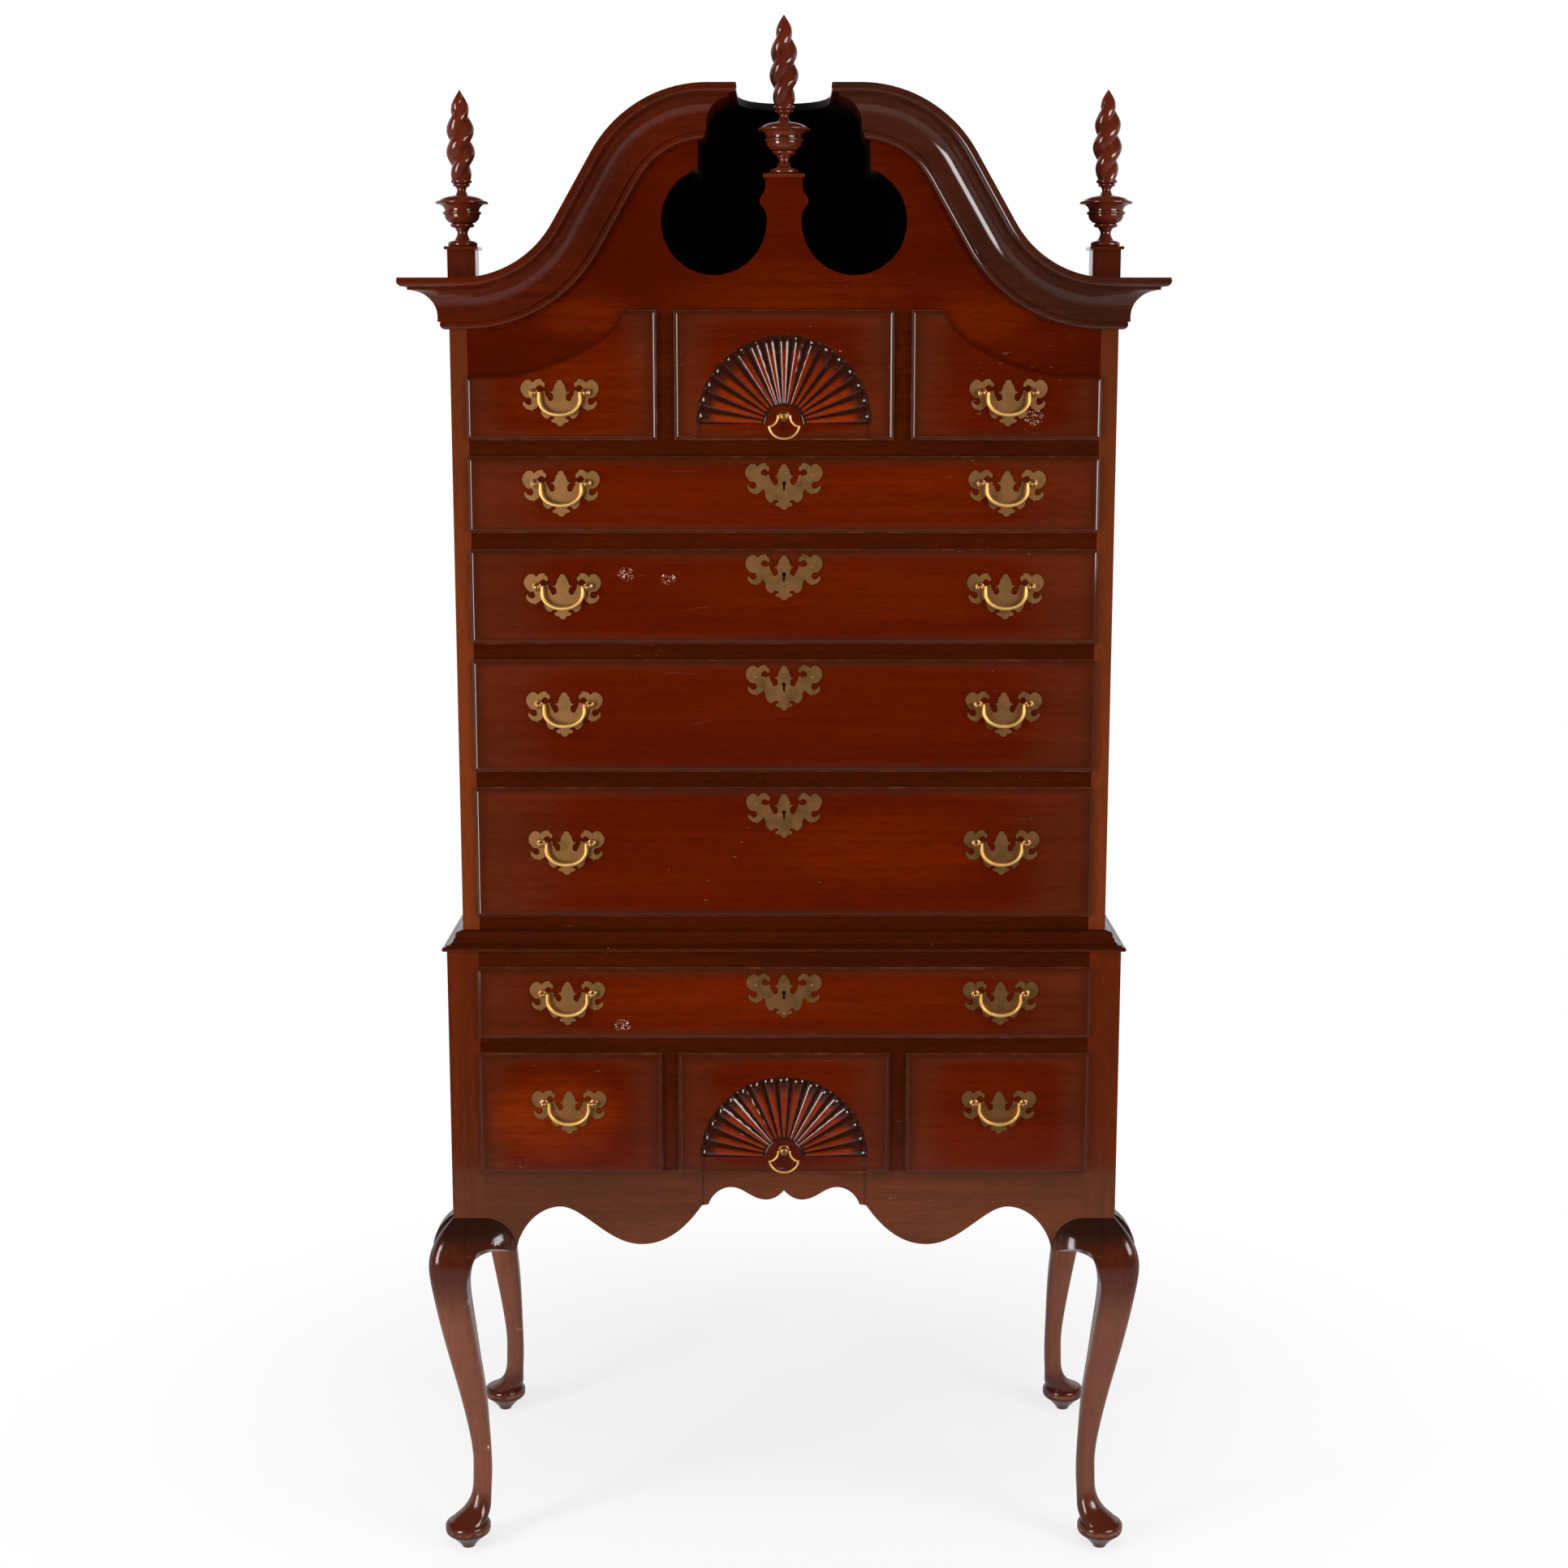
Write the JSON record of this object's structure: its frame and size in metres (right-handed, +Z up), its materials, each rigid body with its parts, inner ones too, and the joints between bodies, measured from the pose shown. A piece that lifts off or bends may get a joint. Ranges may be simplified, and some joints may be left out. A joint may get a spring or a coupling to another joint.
{
  "type": "highboy chest of drawers",
  "caption": "Tall bonnet-top chest on a lower case with cabriole legs: sliding lipped drawers with swinging brass bails, carved fans, scrolled crown and flame finials.",
  "frame": {"origin": "on the floor, at the bottom centre of the whole outline", "axes": "+X to the viewer's right along the front, +Y from front to back, +Z up"},
  "size_m": [1.047, 0.584, 2.2108],
  "materials": {
    "mahogany": "polished red-brown mahogany",
    "secondary_wood": "plain planed poplar, unpolished",
    "brass": "aged brass, brighter on the handles"
  },
  "bodies": {
    "carcase": {"leg_front_left": "mahogany", "leg_front_right": "mahogany", "leg_rear_left": "mahogany", "leg_rear_right": "mahogany", "lower_case_sides": "mahogany", "front_apron": "mahogany", "lower_case_front_rails": "mahogany", "lower_case_back": "secondary_wood", "lower_drawer_runners": "secondary_wood", "waist_moulding": "mahogany", "upper_case_sides": "mahogany", "upper_case_top_and_bottom": "secondary_wood", "upper_case_front_rails": "mahogany", "upper_drawer_runners": "secondary_wood", "upper_case_backboards": "secondary_wood", "scroll_board": "mahogany", "bonnet_roof": "secondary_wood", "bonnet_back": "secondary_wood", "crown_moulding_left": "mahogany", "crown_moulding_right": "mahogany", "side_finials": "mahogany", "centre_finial": "mahogany"},
    "drawer_upper_first": {"drawer_upper_first": "mahogany", "brasses_upper_first": "brass"},
    "drawer_upper_second": {"drawer_upper_second": "mahogany", "brasses_upper_second": "brass"},
    "drawer_upper_third": {"drawer_upper_third": "mahogany", "brasses_upper_third": "brass"},
    "drawer_upper_fourth": {"drawer_upper_fourth": "mahogany", "brasses_upper_fourth": "brass"},
    "drawer_lower_long": {"drawer_lower_long": "mahogany", "brasses_lower_long": "brass"},
    "drawer_top_left": {"drawer_top_left": "mahogany", "brasses_top_left": "brass"},
    "drawer_top_right": {"drawer_top_right": "mahogany", "brasses_top_right": "brass"},
    "drawer_top_centre": {"drawer_top_centre": "mahogany", "brasses_top_centre": "brass"},
    "drawer_lower_left": {"drawer_lower_left": "mahogany", "brasses_lower_left": "brass"},
    "drawer_lower_right": {"drawer_lower_right": "mahogany", "brasses_lower_right": "brass"},
    "drawer_lower_centre": {"drawer_lower_centre": "mahogany", "brasses_lower_centre": "brass"},
    "bail_upper_first_left": {"bail_upper_first_left": "brass"},
    "bail_upper_first_right": {"bail_upper_first_right": "brass"},
    "bail_upper_second_left": {"bail_upper_second_left": "brass"},
    "bail_upper_second_right": {"bail_upper_second_right": "brass"},
    "bail_upper_third_left": {"bail_upper_third_left": "brass"},
    "bail_upper_third_right": {"bail_upper_third_right": "brass"},
    "bail_upper_fourth_left": {"bail_upper_fourth_left": "brass"},
    "bail_upper_fourth_right": {"bail_upper_fourth_right": "brass"},
    "bail_lower_long_left": {"bail_lower_long_left": "brass"},
    "bail_lower_long_right": {"bail_lower_long_right": "brass"},
    "bail_top_left": {"bail_top_left": "brass"},
    "bail_top_right": {"bail_top_right": "brass"},
    "ring_top_centre": {"ring_top_centre": "brass"},
    "bail_lower_left": {"bail_lower_left": "brass"},
    "bail_lower_right": {"bail_lower_right": "brass"},
    "ring_lower_centre": {"ring_lower_centre": "brass"}
  },
  "joints": [
    {"name": "slide_upper_first", "type": "slide", "parent": "carcase", "child": "drawer_upper_first", "axis": [0, -1, 0], "range_m": [0, 0.38]},
    {"name": "slide_upper_second", "type": "slide", "parent": "carcase", "child": "drawer_upper_second", "axis": [0, -1, 0], "range_m": [0, 0.38]},
    {"name": "slide_upper_third", "type": "slide", "parent": "carcase", "child": "drawer_upper_third", "axis": [0, -1, 0], "range_m": [0, 0.38]},
    {"name": "slide_upper_fourth", "type": "slide", "parent": "carcase", "child": "drawer_upper_fourth", "axis": [0, -1, 0], "range_m": [0, 0.38]},
    {"name": "slide_lower_long", "type": "slide", "parent": "carcase", "child": "drawer_lower_long", "axis": [0, -1, 0], "range_m": [0, 0.38]},
    {"name": "slide_top_left", "type": "slide", "parent": "carcase", "child": "drawer_top_left", "axis": [0, -1, 0], "range_m": [0, 0.38]},
    {"name": "slide_top_right", "type": "slide", "parent": "carcase", "child": "drawer_top_right", "axis": [0, -1, 0], "range_m": [0, 0.38]},
    {"name": "slide_top_centre", "type": "slide", "parent": "carcase", "child": "drawer_top_centre", "axis": [0, -1, 0], "range_m": [0, 0.38]},
    {"name": "slide_lower_left", "type": "slide", "parent": "carcase", "child": "drawer_lower_left", "axis": [0, -1, 0], "range_m": [0, 0.38]},
    {"name": "slide_lower_right", "type": "slide", "parent": "carcase", "child": "drawer_lower_right", "axis": [0, -1, 0], "range_m": [0, 0.38]},
    {"name": "slide_lower_centre", "type": "slide", "parent": "carcase", "child": "drawer_lower_centre", "axis": [0, -1, 0], "range_m": [0, 0.38]},
    {"name": "swing_bail_upper_first_left", "type": "hinge", "parent": "drawer_upper_first", "child": "bail_upper_first_left", "pos_m": [-0.31, -0.2467, 1.5805], "axis": [-1, 0, 0], "range_deg": [-5, 160]},
    {"name": "swing_bail_upper_first_right", "type": "hinge", "parent": "drawer_upper_first", "child": "bail_upper_first_right", "pos_m": [0.31, -0.2467, 1.5805], "axis": [-1, 0, 0], "range_deg": [-5, 160]},
    {"name": "swing_bail_upper_second_left", "type": "hinge", "parent": "drawer_upper_second", "child": "bail_upper_second_left", "pos_m": [-0.31, -0.2467, 1.437], "axis": [-1, 0, 0], "range_deg": [-5, 160]},
    {"name": "swing_bail_upper_second_right", "type": "hinge", "parent": "drawer_upper_second", "child": "bail_upper_second_right", "pos_m": [0.31, -0.2467, 1.437], "axis": [-1, 0, 0], "range_deg": [-5, 160]},
    {"name": "swing_bail_upper_third_left", "type": "hinge", "parent": "drawer_upper_third", "child": "bail_upper_third_left", "pos_m": [-0.31, -0.2467, 1.2705], "axis": [-1, 0, 0], "range_deg": [-5, 160]},
    {"name": "swing_bail_upper_third_right", "type": "hinge", "parent": "drawer_upper_third", "child": "bail_upper_third_right", "pos_m": [0.31, -0.2467, 1.2705], "axis": [-1, 0, 0], "range_deg": [-5, 160]},
    {"name": "swing_bail_upper_fourth_left", "type": "hinge", "parent": "drawer_upper_fourth", "child": "bail_upper_fourth_left", "pos_m": [-0.31, -0.2467, 1.071], "axis": [-1, 0, 0], "range_deg": [-5, 160]},
    {"name": "swing_bail_upper_fourth_right", "type": "hinge", "parent": "drawer_upper_fourth", "child": "bail_upper_fourth_right", "pos_m": [0.31, -0.2467, 1.071], "axis": [-1, 0, 0], "range_deg": [-5, 160]},
    {"name": "swing_bail_lower_long_left", "type": "hinge", "parent": "drawer_lower_long", "child": "bail_lower_long_left", "pos_m": [-0.31, -0.2677, 0.8555], "axis": [-1, 0, 0], "range_deg": [-5, 160]},
    {"name": "swing_bail_lower_long_right", "type": "hinge", "parent": "drawer_lower_long", "child": "bail_lower_long_right", "pos_m": [0.31, -0.2677, 0.8555], "axis": [-1, 0, 0], "range_deg": [-5, 160]},
    {"name": "swing_bail_top_left", "type": "hinge", "parent": "drawer_top_left", "child": "bail_top_left", "pos_m": [-0.31, -0.2467, 1.705], "axis": [-1, 0, 0], "range_deg": [-5, 160]},
    {"name": "swing_bail_top_right", "type": "hinge", "parent": "drawer_top_right", "child": "bail_top_right", "pos_m": [0.31, -0.2467, 1.705], "axis": [-1, 0, 0], "range_deg": [-5, 160]},
    {"name": "swing_ring_top_centre", "type": "hinge", "parent": "drawer_top_centre", "child": "ring_top_centre", "pos_m": [0, -0.2447, 1.6735], "axis": [-1, 0, 0], "range_deg": [-5, 150]},
    {"name": "swing_bail_lower_left", "type": "hinge", "parent": "drawer_lower_left", "child": "bail_lower_left", "pos_m": [-0.31, -0.2677, 0.6935], "axis": [-1, 0, 0], "range_deg": [-5, 160]},
    {"name": "swing_bail_lower_right", "type": "hinge", "parent": "drawer_lower_right", "child": "bail_lower_right", "pos_m": [0.31, -0.2677, 0.6935], "axis": [-1, 0, 0], "range_deg": [-5, 160]},
    {"name": "swing_ring_lower_centre", "type": "hinge", "parent": "drawer_lower_centre", "child": "ring_lower_centre", "pos_m": [0, -0.2657, 0.622], "axis": [-1, 0, 0], "range_deg": [-5, 150]}
  ]
}
